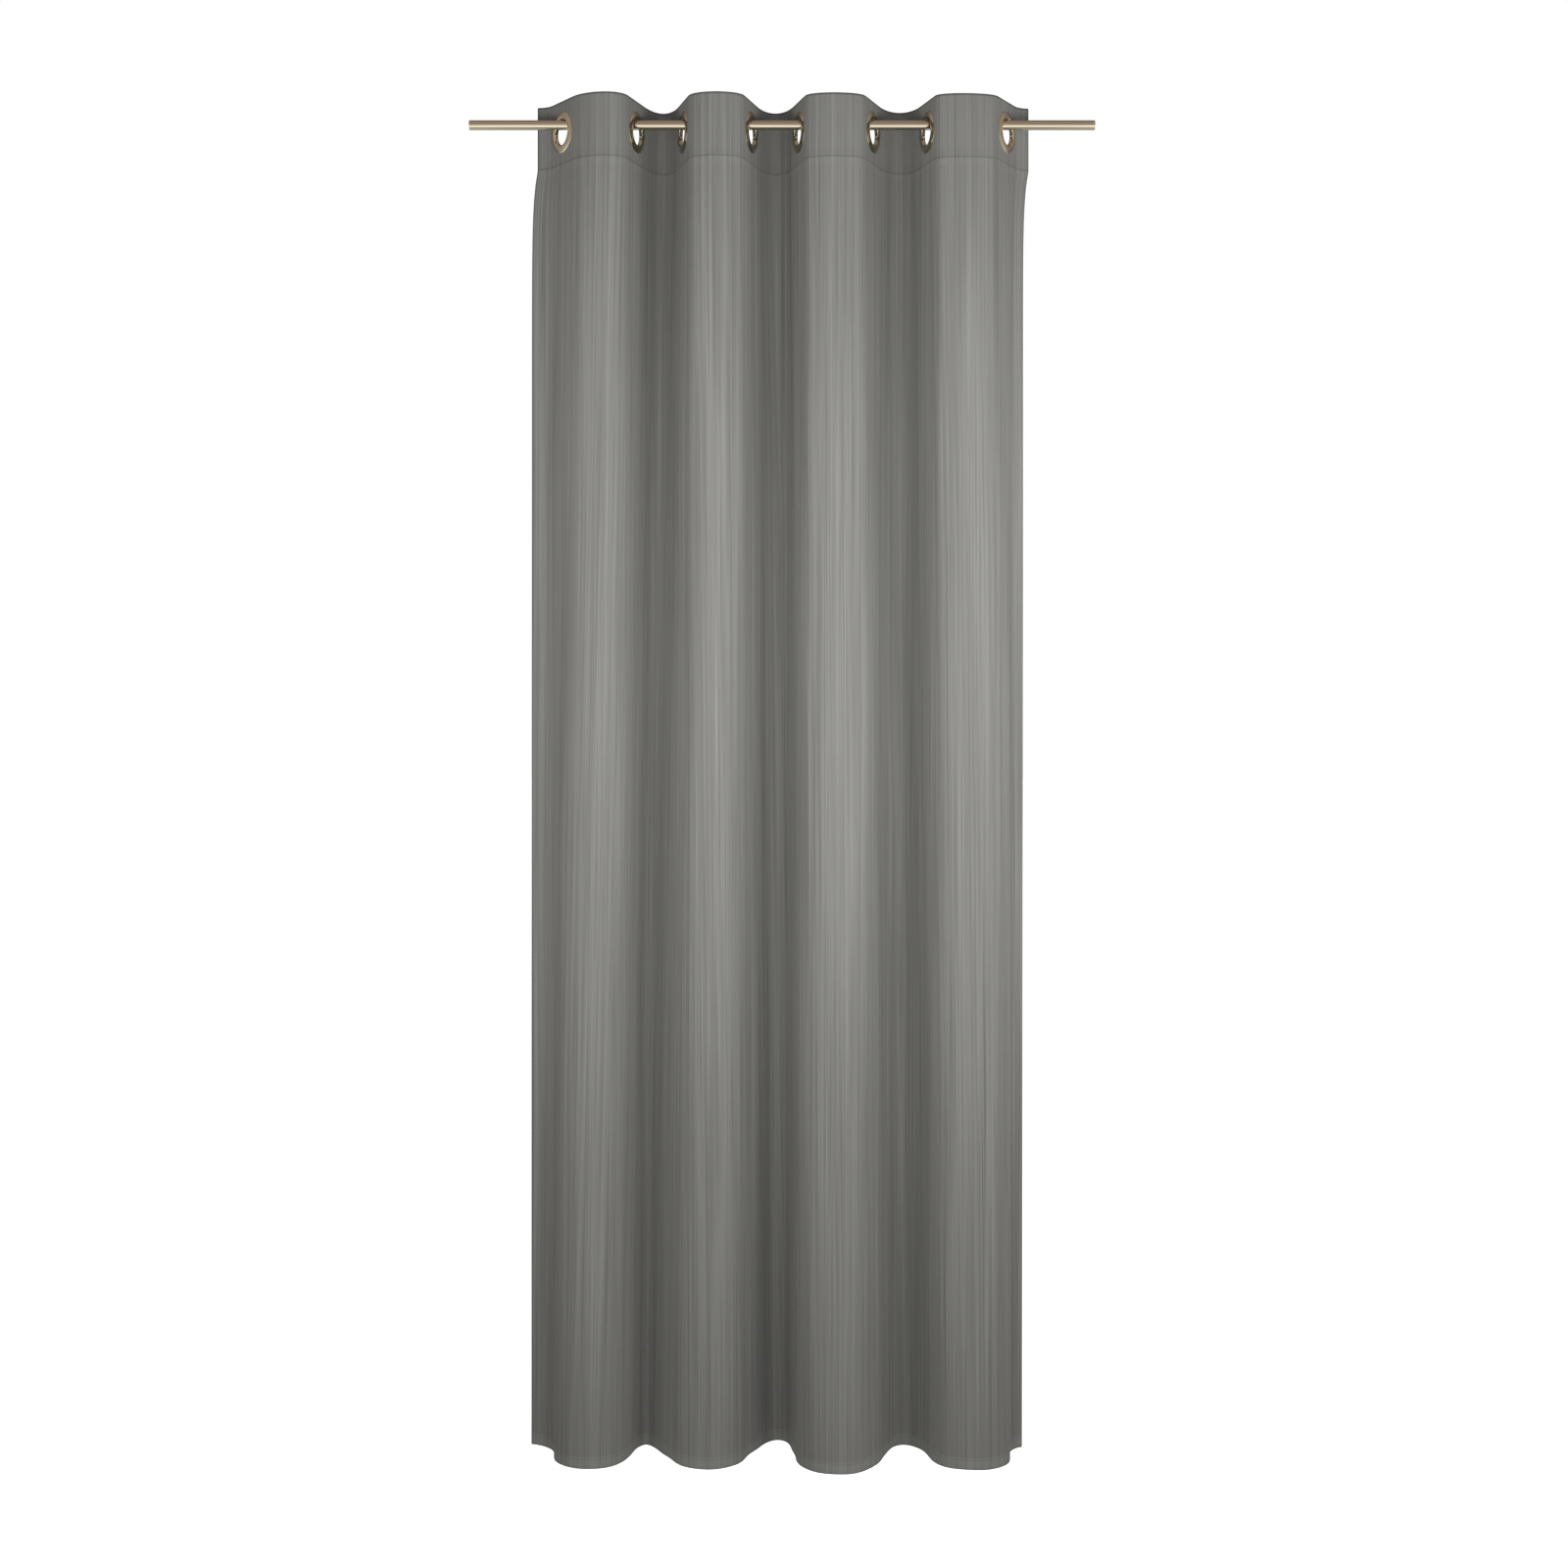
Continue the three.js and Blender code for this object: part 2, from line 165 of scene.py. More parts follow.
world = bpy.data.worlds.new("studio")
scene.world = world
world.use_nodes = True
sky = world.node_tree
sky.nodes.clear()
direction = sky.nodes.new("ShaderNodeTexCoord")
height = sky.nodes.new("ShaderNodeSeparateXYZ")
sky.links.new(direction.outputs["Generated"], height.inputs[0])
upward = new_node(sky, "MapRange")
upward.inputs["From Min"].default_value = -1
sky.links.new(height.outputs["Z"], upward.inputs["Value"])
mirrored = colour_ramp(
    sky,
    [
        (0.0, (0.15, 0.15, 0.09)),
        (0.03, (0.30, 0.30, 0.21)),
        (0.08, (1.15, 1.14, 1.05)),
        (0.14, (1.75, 1.72, 1.62)),
        (0.30, (1.75, 1.68, 1.55)),
        (0.38, (1.00, 0.90, 0.79)),
        (0.46, (0.60, 0.51, 0.44)),
        (1.0, (0.38, 0.31, 0.26)),
    ],
    smooth=False,
)
sky.links.new(upward.outputs[0], mirrored.inputs[0])
behind = new_node(sky, "MapRange", interpolation_type="SMOOTHSTEP")
behind.inputs["From Min"].default_value = DIM_FROM
behind.inputs["From Max"].default_value = DIM_TO
behind.inputs["To Min"].default_value = 1.0
behind.inputs["To Max"].default_value = DIM_BEHIND
sky.links.new(height.outputs["Y"], behind.inputs["Value"])
dimmed = new_node(sky, "VectorMath", operation="SCALE")
sky.links.new(mirrored.outputs["Color"], dimmed.inputs[0])
sky.links.new(behind.outputs[0], dimmed.inputs["Scale"])
ray = sky.nodes.new("ShaderNodeLightPath")
lit = new_node(sky, "Mix", data_type="RGBA")
lit.inputs["A"].default_value = (AMBIENT, AMBIENT, AMBIENT, 1)
sky.links.new(ray.outputs["Is Glossy Ray"], lit.inputs["Factor"])
sky.links.new(dimmed.outputs[0], lit.inputs["B"])
seen = new_node(sky, "Mix", data_type="RGBA")
seen.inputs["B"].default_value = (1, 1, 1, 1)
sky.links.new(ray.outputs["Is Camera Ray"], seen.inputs["Factor"])
sky.links.new(lit.outputs["Result"], seen.inputs["A"])
background = sky.nodes.new("ShaderNodeBackground")
sky.links.new(seen.outputs["Result"], background.inputs["Color"])
sky.links.new(background.outputs[0], sky.nodes.new("ShaderNodeOutputWorld").inputs["Surface"])
scene.view_settings.view_transform = "Standard"
print("ambient light", AMBIENT)

# %% [markdown]
# ## The floor
#
# The panel hangs clear of a plain pale floor. The floor glows softly, like a lit studio sweep, and
# it is left out of the bounced light, so it doesn't wash out the shadows in the folds.

# %% Floor
def mesh_object(name, bm):
    """A new object from a bmesh, at the origin."""
    mesh = bpy.data.meshes.new(name)
    bm.to_mesh(mesh)
    bm.free()
    made = bpy.data.objects.new(name, mesh)
    scene.collection.objects.link(made)
    return made


FLOOR = -2.40
bm = bmesh.new()
bmesh.ops.create_grid(bm, x_segments=1, y_segments=1, size=30)
bmesh.ops.translate(bm, verts=bm.verts, vec=(0, 0, FLOOR))
floor = mesh_object("floor", bm)
paint = bpy.data.materials.new("floor_paint")
paint.use_nodes = True
finish = paint.node_tree.nodes["Principled BSDF"]
finish.inputs["Base Color"].default_value = (0.85, 0.85, 0.85, 1)
finish.inputs["Roughness"].default_value = 0.8
finish.inputs["Emission Color"].default_value = (1, 1, 1, 1)
finish.inputs["Emission Strength"].default_value = 1.0
floor.data.materials.append(paint)
floor.visible_diffuse = False
floor.visible_glossy = False
print("floor at", FLOOR)

# %% [markdown]
# ## How the cloth hangs, seen from above
#
# A curtain's outline from above is a wave of constant length: cloth folds, but it hardly
# stretches. At each eyelet the stiff heading is straight, and between two eyelets it bends in one
# smooth fold, which a Bezier curve draws well. Its two handles are made just long enough for the
# fold to use up its share of the cloth. Lower down nothing holds the folds, so the wave at the hem
# has drifted: some folds have opened, and others have closed.

# %% Sizes of the panel, in millimetres
PANEL_WIDTH = 1400
PANEL_DROP = 2250
HEADING_DEPTH = 106
BOTTOM_HEM = 20
SIDE_HEM = 25
SEAM_INSET = 3
CLOTH = 0.8
BUCKRAM = 0.8
HEADING_THICKNESS = 3.0
TOP = 40
EYELET_COUNT = 8
EYELET_FROM_SIDE = 66
EYELET_BELOW_TOP = 52.5
EYELET_RADIUS = 34
PITCH = (PANEL_WIDTH - 2 * EYELET_FROM_SIDE) / (EYELET_COUNT - 1)
eyelet_across = [EYELET_FROM_SIDE + k * PITCH for k in range(EYELET_COUNT)]
print("eyelets every", round(PITCH, 2), "mm of cloth")


# %% One fold, and one free end
def way(angle):
    """The unit vector at that angle."""
    return np.array([math.cos(angle), math.sin(angle)])


def bezier(start, first, second, end, steps=60):
    """Points along a cubic Bezier curve."""
    t = np.linspace(0, 1, steps + 1)[:, None]
    weights = [(1 - t) ** 3, 3 * t * (1 - t) ** 2, 3 * t**2 * (1 - t), t**3]
    return sum(w * p for w, p in zip(weights, (start, first, second, end)))


def length_of(points):
    """The length of a line of points."""
    return np.linalg.norm(np.diff(points, axis=0), axis=1).sum()


def fold_between(start, start_way, end, end_way, length):
    """A fold from one straight stretch to the next, exactly as long as its cloth."""
    low, high = 0.0, length
    for _ in range(40):
        handle = (low + high) / 2
        points = bezier(start, start + handle * start_way, end - handle * end_way, end)
        if length_of(points) < length:
            low = handle
        else:
            high = handle
    return points


def curl(junction, angle, turn, length, steps=24):
    """A free end: an arc of that length from the junction, turning as it goes."""
    angles = angle + turn * (np.arange(steps) + 0.5) / steps
    parts = np.stack([np.cos(angles), np.sin(angles)], axis=1) * length / steps
    return junction + np.vstack([[0, 0], np.cumsum(parts, axis=0)])


# %% The whole outline
def outline(opening, angles, shifts, centre, setback, straight, end_turns):
    """The wave of the cloth from its left edge to its right, as points, with the length to each.

    opening is how wide each fold is opened, as a share of its cloth. angles is how steeply the
    cloth crosses the rod's line at each eyelet, in degrees, and shifts is how far along the cloth
    each crossing has wandered. straight is half of each stiff stretch. The wave is centred on
    x = centre and y = setback, and end_turns is how far the free ends curl, in degrees."""
    across = np.array(eyelet_across) + shifts
    lengths = np.diff(across) - 2 * straight
    leans = straight * np.cos(np.radians(angles))
    gaps = leans[:-1] + np.array(opening) * lengths + leans[1:]
    x = centre - gaps.sum() / 2 + np.concatenate([[0], np.cumsum(gaps)])
    crossings = np.stack([x, np.full(EYELET_COUNT, float(setback))], axis=1)
    tangents = [math.radians(a if k % 2 else -a) for k, a in enumerate(angles)]
    ways = [way(a) for a in tangents]
    starts = [c - straight * w for c, w in zip(crossings, ways)]
    ends = [c + straight * w for c, w in zip(crossings, ways)]
    left = curl(starts[0], tangents[0] + math.pi, math.radians(end_turns[0]), across[0] - straight)
    points = [left[::-1]]
    for k in range(EYELET_COUNT):
        points.append(np.array([starts[k], ends[k]]))
        if k < EYELET_COUNT - 1:
            points.append(fold_between(ends[k], ways[k], starts[k + 1], ways[k + 1], lengths[k]))
    free = PANEL_WIDTH - across[-1] - straight
    points.append(curl(ends[-1], tangents[-1], -math.radians(end_turns[1]), free))
    points = np.vstack(points)
    run = np.concatenate([[0], np.cumsum(np.linalg.norm(np.diff(points, axis=0), axis=1))])
    return points, run * PANEL_WIDTH / run[-1]


heading_wave = outline(
    opening=[0.814, 0.535, 0.821, 0.557, 0.883, 0.629, 0.919],
    angles=[55, 72, 74, 73.5, 74, 68.5, 73, 60.5],
    shifts=[0] * EYELET_COUNT,
    centre=4,
    setback=0,
    straight=EYELET_RADIUS + 1,
    end_turns=[58, 60],
)
hem_wave = outline(
    opening=[0.747, 0.503, 0.76, 0.472, 0.665, 0.573, 0.734],
    angles=[82, 75, 64, 70, 83, 74, 75, 88],
    shifts=[15, 14, -33, -28, -26, 28, -10, 9],
    centre=0,
    setback=-14,
    straight=12,
    end_turns=[72, 76],
)
print("the heading's wave has", len(heading_wave[0]), "points")


# %% [markdown]
# ## From flat cloth to hung cloth
#
# A flat place on the panel has three numbers: s across it, depth down it, and n through it, from
# the front face to the back. One function hangs any such place, so every layer, stitch and ring
# that is cut flat lands on the folds together and none of them cross.

# %% Hanging
EDGE_WIDTH = 45  # how far in from a side the cloth counts as a free edge
EDGE_DROP = 50  # how soon below the heading that edge gives way
EDGE_SHARE = 0.9
RIPPLES_GROW = 500


def on_wave(wave, s):
    """Where a place along the cloth lies on a wave."""
    points, run = wave
    return np.stack([np.interp(s, run, points[:, 0]), np.interp(s, run, points[:, 1])], axis=-1)


def share_of_hem(s, depth):
    """How far a place has left the heading's wave for the hem's. A free edge gives way at once."""
    below = np.maximum(0, depth - HEADING_DEPTH)
    even = below / (PANEL_DROP - HEADING_DEPTH)
    edge = np.minimum(s, PANEL_WIDTH - s)
    at_edge = np.exp(-((np.maximum(edge, 0) / EDGE_WIDTH) ** 2))
    quick = 1 - np.exp(-below / EDGE_DROP)
    return even + at_edge * EDGE_SHARE * (quick - even)


def ripple(s, depth):
    """Soft upright ripples, in millimetres through the cloth. The stiff heading has none."""
    below = np.clip((depth - HEADING_DEPTH) / RIPPLES_GROW, 0, 1)
    drift = depth / PANEL_DROP
    waves = (
        0.9 * np.sin(s / 23.0 + 2.1 * drift + 0.4)
        + 0.7 * np.sin(s / 14.5 - 3.3 * drift + 1.9)
        + 0.5 * np.sin(s / 9.3 + 4.6 * drift + 3.0)
    )
    return below * waves


def plan(s, depth):
    """Where the cloth is, seen from above."""
    share = share_of_hem(s, depth)[..., None]
    return (1 - share) * on_wave(heading_wave, s) + share * on_wave(hem_wave, s)


def through(s, depth):
    """The unit vector through the cloth, front to back."""
    reach = 0.6
    before = plan(np.maximum(0, s - reach), depth)
    after = plan(np.minimum(PANEL_WIDTH, s + reach), depth)
    tangent = after - before
    tangent /= np.linalg.norm(tangent, axis=-1, keepdims=True)
    return np.stack([-tangent[..., 1], tangent[..., 0]], axis=-1)


def hang(s, depth, n):
    """Where flat places go, in metres."""
    s, depth, n = np.broadcast_arrays(*(np.asarray(a, float) for a in (s, depth, n)))
    offset = n - HEADING_THICKNESS / 2 + ripple(s, depth)
    flat = plan(s, depth) + offset[..., None] * through(s, depth)
    return np.concatenate([flat, (TOP - depth)[..., None]], axis=-1) * MM


print("the middle of the hem hangs at", hang(700, PANEL_DROP, 0).round(3))

# %% [markdown]
# ## Cutting the cloth
#
# The panel is one piece of cloth. Its top is turned down behind over a stiff tape, its bottom is
# turned up behind, and its sides are turned in. The cloth is cut as one flat grid whose lines are
# closer where it turns. A first rule says how far down, and how far through, each line ends up,
# and a second one does the same for the sides. `create_grid` makes the grid, so no list of faces
# has to be written by hand.

# %% The turns of the cloth
FRONT = CLOTH / 2  # the middle of each layer, through the thickness
FACING = HEADING_THICKNESS - CLOTH / 2
TURNED_UP = 2.2
TURNED_IN = 1.3
FINE_STEP = 5  # between the lines of the grid
SIDE_STEP = 8
LONG_STEP = 24


def spaced(start, end, step):
    """Evenly spaced lines, close to a step apart, with both ends."""
    return np.linspace(start, end, max(1, round(abs(end - start) / step)) + 1)


def reach_of_turn(inner):
    """How far from its edge a turn begins, from the front layer to an inner one."""
    return CLOTH / 2 + (inner - FRONT) / 2


def turn_round(edge, outer, inner, sense, steps=6):
    """The places (along, through) of a rounded turn at an edge, from the outer layer in."""
    radius = (inner - outer) / 2
    angles = np.linspace(0, math.pi, steps + 1)[1:-1]
    along = edge + sense * (CLOTH / 2 + radius - radius * np.sin(angles))
    return [(a, outer + radius - radius * math.cos(t)) for a, t in zip(along, angles)]


def lines(places, n):
    """The same n for every line."""
    return [(place, n) for place in places]


top_turn = turn_round(0, FRONT, FACING, 1)
foot_turn = turn_round(PANEL_DROP, FRONT, TURNED_UP, -1)
top_end = reach_of_turn(FACING)
foot_end = PANEL_DROP - reach_of_turn(TURNED_UP)
side_end = reach_of_turn(TURNED_IN)
hem_line = PANEL_DROP - BOTTOM_HEM
facing_rows = spaced(HEADING_DEPTH, top_end, FINE_STEP)
rows = (
    lines(facing_rows, FACING)
    + top_turn[::-1]
    + lines(facing_rows[::-1], FRONT)
    + lines(spaced(HEADING_DEPTH, hem_line, LONG_STEP)[1:], FRONT)
    + lines(spaced(hem_line, foot_end, FINE_STEP)[1:], FRONT)
    + foot_turn
    + lines(spaced(foot_end, hem_line, FINE_STEP), TURNED_UP)
)
left_turn = turn_round(0, FRONT, TURNED_IN, 1)
right_turn = turn_round(PANEL_WIDTH, FRONT, TURNED_IN, -1)
side_in = spaced(SIDE_HEM, side_end, SIDE_STEP)
columns = (
    lines(side_in, TURNED_IN)
    + left_turn[::-1]
    + lines(spaced(side_end, PANEL_WIDTH - side_end, FINE_STEP), FRONT)
    + right_turn
    + lines(PANEL_WIDTH - side_in[::-1], TURNED_IN)
)
side_lines = len(side_in) + len(left_turn)
print(len(rows), "rows and", len(columns), "columns")


# %% Cutting and hanging the cloth
def flat_run(places):
    """How far along the flat cloth each line lies, in millimetres."""
    steps = np.linalg.norm(np.diff(np.array(places), axis=0), axis=1)
    return np.concatenate([[0], np.cumsum(steps)])


row_run, column_run = flat_run(rows), flat_run(columns)
column_run -= column_run[side_lines]  # 0 at the left edge
row_run -= row_run[len(facing_rows) + len(top_turn)]  # 0 at the top
front_rows = [i for i, (_, n) in enumerate(rows) if n == FRONT]


def grid_sheet(column_count, row_count):
    """A flat grid, and a table of the column and the row of each of its vertices."""
    bm = bmesh.new()
    bmesh.ops.create_grid(bm, x_segments=column_count - 1, y_segments=row_count - 1, size=1)
    place = {}
    for vertex in bm.verts:
        column = round((vertex.co.x + 1) / 2 * (column_count - 1))
        row = round((1 - vertex.co.y) / 2 * (row_count - 1))
        place[vertex] = (column, row)
    return bm, place


bm, place = grid_sheet(len(columns), len(rows))
flat_uv = bm.loops.layers.uv.new("flat")
first_front, last_front = front_rows[0], front_rows[-1]


def is_cut_away(face):
    """The sides are turned in only behind the front layer."""
    column = [place[v][0] for v in face.verts]
    row = [place[v][1] for v in face.verts]
    in_side = max(column) <= side_lines or min(column) >= len(columns) - side_lines - 1
    return in_side and (min(row) < first_front or max(row) > last_front)


bmesh.ops.delete(bm, geom=[f for f in bm.faces if is_cut_away(f)], context="FACES")
print("the cloth has", len(bm.faces), "squares")

# %% [markdown]
# ## Punching the eyelet holes
#
# The holes are punched while the cloth is still flat, through the front layer and through the
# layer behind it. Squares inside the hole are deleted, and the ragged edge that is left is pulled
# onto a circle. The rings will cover it.

# %% Punching
HOLE_RADIUS = 23.5


def flat_place(vertex):
    """The flat (s, depth, layer) of a vertex."""
    column, row = place[vertex]
    depth, n_row = rows[row]
    s, n_column = columns[column]
    return s, depth, max(n_row, n_column)


flat = {v: flat_place(v) for v in bm.verts}


def off_centre(s, depth):
    """How far a flat place is from the middle of the nearest eyelet."""
    return min(math.hypot(s - a, depth - EYELET_BELOW_TOP) for a in eyelet_across)


inside = []
for face in bm.faces:
    depth = sum(flat[v][1] for v in face.verts) / 4
    if depth > HEADING_DEPTH:
        continue
    s = sum(flat[v][0] for v in face.verts) / 4
    if off_centre(s, depth) < HOLE_RADIUS:
        inside.append(face)
bmesh.ops.delete(bm, geom=inside, context="FACES")
for vertex in bm.verts:
    if not vertex.is_boundary or flat[vertex][1] > HEADING_DEPTH - 10:
        continue
    s, depth, n = flat[vertex]
    across = min(eyelet_across, key=lambda a: abs(a - s))
    radius = off_centre(s, depth)
    if radius < EYELET_RADIUS:
        scale = HOLE_RADIUS / radius
        moved = (across + (s - across) * scale, (depth - EYELET_BELOW_TOP) * scale)
        flat[vertex] = (moved[0], EYELET_BELOW_TOP + moved[1], n)
print("punched", len(inside), "squares out of", 2 * EYELET_COUNT, "holes")

# %% [markdown]
# ## Hanging it, and giving it its thickness
#
# The flat map keeps where each point lay on the cutting table, so the weave runs straight through
# every fold. Then each point is hung. The Solidify modifier turns the sheet into real cloth with
# two faces. It is applied at once, so that whatever moves the sheet later moves its thickness too.

# %% Hanging the cloth
for face in bm.faces:
    for loop in face.loops:
        column, row = place[loop.vert]
        loop[flat_uv].uv = (column_run[column] * MM, -row_run[row] * MM)
    face.smooth = True
vertices = list(bm.verts)
hung = hang(*np.array([flat[v] for v in vertices]).T)
for vertex, spot in zip(vertices, hung):
    vertex.co = spot
bmesh.ops.recalc_face_normals(bm, faces=bm.faces)
curtain = mesh_object("curtain_cloth", bm)


def thicken(piece, thickness):
    """Gives a sheet its thickness, half to each side."""
    solid = piece.modifiers.new("thickness", "SOLIDIFY")
    solid.thickness = thickness * MM
    solid.offset = 0
    solid.use_rim = True
    with bpy.context.temp_override(object=piece):
        bpy.ops.object.modifier_apply(modifier=solid.name)
    return piece


thicken(curtain, CLOTH)
print("hung cloth:", len(curtain.data.vertices), "vertices")

# %% [markdown]
# ## Moving with the curtain
#
# When the curtain is drawn open, the eyelets slide together and the folds close up. Here each
# piece is only fastened to a body and given a mesh of its own; the folds are not closed up.

# %% Fastening to a body
FIRST_EYELET = hang(eyelet_across[0], EYELET_BELOW_TOP, HEADING_THICKNESS / 2)
LAST_EYELET = hang(eyelet_across[-1], EYELET_BELOW_TOP, HEADING_THICKNESS / 2)


def soft_ride(piece, body="panel"):
    """The piece moves with a body, and gets a mesh of its own."""
    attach(piece, body)
    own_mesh(piece)
    return piece


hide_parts("panel_cloth")

# %% [markdown]
# ## The stiff tape in the heading
#
# Curtain buckram is a stiff strip between the heading's two layers. It hardly shows, only through
# the open lower edge of the heading behind, but it is what holds the waves. It is cut as a smaller
# grid in the same way, and hung by the same rule.

# %% Buckram
def plain_sheet(name, across, down, n, holes=False):
    """A plain strip of cloth or tape, from its lines across and down."""
    bm, place = grid_sheet(len(across), len(down))
    uv = bm.loops.layers.uv.new("flat")
    for face in bm.faces:
        face.smooth = True
        for loop in face.loops:
            column, row = place[loop.vert]
            loop[uv].uv = (across[column] * MM, -down[row] * MM)
    flat = {v: (across[place[v][0]], down[place[v][1]], n) for v in bm.verts}
    if holes:
        gone = [v for v in bm.verts if off_centre(flat[v][0], flat[v][1]) < HOLE_RADIUS]
        bmesh.ops.delete(bm, geom=gone, context="VERTS")
    vertices = list(bm.verts)
    for vertex, spot in zip(vertices, hang(*np.array([flat[v] for v in vertices]).T)):
        vertex.co = spot
    bmesh.ops.recalc_face_normals(bm, faces=bm.faces)
    return mesh_object(name, bm)


TAPE_TOP, TAPE_FOOT = 2, 102.7
tape_across = spaced(SIDE_HEM + 1, PANEL_WIDTH - SIDE_HEM - 1, FINE_STEP)
tape_down = spaced(TAPE_TOP, TAPE_FOOT, FINE_STEP)
tape = plain_sheet("heading_tape", tape_across, tape_down, HEADING_THICKNESS / 2, holes=True)
thicken(tape, BUCKRAM)
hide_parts("heading_buckram")
print("tape:", len(tape.data.polygons), "squares")

# %% [markdown]
# ## Stitches
#
# A line of lock stitches is a row of short, fat grains of thread, each dipping into the cloth at
# both ends. One grain is a small ball pulled long. It is copied along the seam, on the front and
# on the back, and every copy is turned to follow the folds.

# %% Stitches
STITCH_PITCH = 3.4
STITCH_LENGTH = 2.9
STITCH_WIDTH = 0.62
STITCH_SINK = 0.12  # how deep the middle of a stitch lies in the cloth
SIDE_SEAM_GAP = 4  # the side seams stop this far from the others

grain_bm = bmesh.new()
bmesh.ops.create_uvsphere(grain_bm, u_segments=6, v_segments=4, radius=0.5)
grain = bpy.data.meshes.new("grain")
grain_bm.to_mesh(grain)
grain_bm.free()
grain_points = np.array([v.co for v in grain.vertices])


def seam(name, node, start, end, layers):
    """Stitches from one flat (s, depth) place to another, on each layer, given as its n."""
    start, end = np.array(start, float), np.array(end, float)
    span = np.linalg.norm(end - start)
    count = int(span / STITCH_PITCH)
    middles = start + (end - start) * ((np.arange(count) + 0.5) / count)[:, None]
    step = (end - start) / span
    bm = bmesh.new()
    spots = []
    for n in layers:
        s, depth = middles.T
        ahead = hang(s + step[0], depth + step[1], n) - hang(s - step[0], depth - step[1], n)
        ahead /= np.linalg.norm(ahead, axis=1, keepdims=True)
        out = np.concatenate([through(s, depth), np.zeros((count, 1))], axis=1)
        side = np.cross(ahead, out)
        centres = hang(s, depth, n)
        for centre, a, b, c in zip(centres, ahead, side, out):
            bm.from_mesh(grain)
            turned = (
                grain_points[:, 2:3] * a * STITCH_LENGTH
                + grain_points[:, 0:1] * b * STITCH_WIDTH
                + grain_points[:, 1:2] * c * STITCH_WIDTH
            )
            spots.append(centre + turned * MM)
    for vertex, spot in zip(bm.verts, np.vstack(spots)):
        vertex.co = spot
    for face in bm.faces:
        face.smooth = True
    made = mesh_object(name, bm)
    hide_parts(node)
    return made


# %% The four seams
heading_line = HEADING_DEPTH - SEAM_INSET
foot_line = PANEL_DROP - BOTTOM_HEM + SEAM_INSET
side_line = SIDE_HEM - SEAM_INSET
side_back = TURNED_IN + CLOTH / 2 - STITCH_SINK
seams = [
    seam(
        "heading_stitches",
        "heading_seam",
        (1, heading_line),
        (PANEL_WIDTH - 1, heading_line),
        [STITCH_SINK, HEADING_THICKNESS - STITCH_SINK],
    ),
    seam(
        "bottom_hem_stitches",
        "bottom_hem_seam",
        (1, foot_line),
        (PANEL_WIDTH - 1, foot_line),
        [STITCH_SINK, TURNED_UP + CLOTH / 2 - STITCH_SINK],
    ),
    seam(
        "left_hem_stitches",
        "left_hem_seam",
        (side_line, heading_line + SIDE_SEAM_GAP),
        (side_line, foot_line - SIDE_SEAM_GAP),
        [STITCH_SINK, side_back],
    ),
    seam(
        "right_hem_stitches",
        "right_hem_seam",
        (PANEL_WIDTH - side_line, heading_line + SIDE_SEAM_GAP),
        (PANEL_WIDTH - side_line, foot_line - SIDE_SEAM_GAP),
        [STITCH_SINK, side_back],
    ),
]
print("stitch faces:", sum(len(s.data.polygons) for s in seams))

# %% [markdown]
# ## The care label
#
# A soft ribbon lies on the left side hem behind the panel. It is left blank.

# %% Label
LABEL_WIDTH, LABEL_LENGTH = 30, 55
LABEL_THICKNESS = 0.35
LABEL_FROM_EDGE = 4
LABEL_STEP = 3
label_low = hem_line - 120
label_back = TURNED_IN + CLOTH / 2 + LABEL_THICKNESS
label = plain_sheet(
    "care_label_ribbon",
    spaced(LABEL_FROM_EDGE, LABEL_FROM_EDGE + LABEL_WIDTH, LABEL_STEP),
    spaced(label_low - LABEL_LENGTH, label_low, LABEL_STEP),
    label_back,
)
thicken(label, LABEL_THICKNESS)
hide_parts("care_label")
print("label:", len(label.data.polygons), "squares")

# %% [markdown]
# ## Eyelets
#
# An eyelet is two rings pressed from sheet metal. The front one has a broad flange and a barrel
# that passes through the cloth; the back one snaps over the barrel. Both are turned shapes, so a
# short profile, spun all the way round, makes each of them. The profile is closed, so the ring has
# a real wall. Each ring is then stood up in the cloth at its own angle.

# %% Turning a ring
RING_STEPS = 72
BARREL = 21.0


def turned_ring(bm, profile, steps=RING_STEPS):
    """Spins a closed profile of (radius, along) round the Y axis. In millimetres."""
    corners = [bm.verts.new((r, y, 0)) for r, y in profile]
    edges = [bm.edges.new((a, b)) for a, b in zip(corners, corners[1:] + corners[:1])]
    bmesh.ops.spin(
        bm,
        geom=corners + edges,
        cent=(0, 0, 0),
        axis=(0, 1, 0),
        angle=math.tau,
        steps=steps,
        use_merge=True,
        use_duplicate=False,
    )
    bmesh.ops.remove_doubles(bm, verts=bm.verts, dist=1e-4)
    bmesh.ops.recalc_face_normals(bm, faces=bm.faces)


def rounded(points, radius, steps=4):
    """The same closed profile with each corner rounded."""
    result = []
    points = np.array(points, float)
    for i, corner in enumerate(points):
        before, after = points[i - 1], points[(i + 1) % len(points)]
        reach = min(radius, *(np.linalg.norm(p - corner) * 0.45 for p in (before, after)))
        a = corner + (before - corner) / np.linalg.norm(before - corner) * reach
        b = corner + (after - corner) / np.linalg.norm(after - corner) * reach
        for t in np.linspace(0, 1, steps + 1):
            result.append(tuple((1 - t) ** 2 * a + 2 * t * (1 - t) * corner + t**2 * b))
    return result


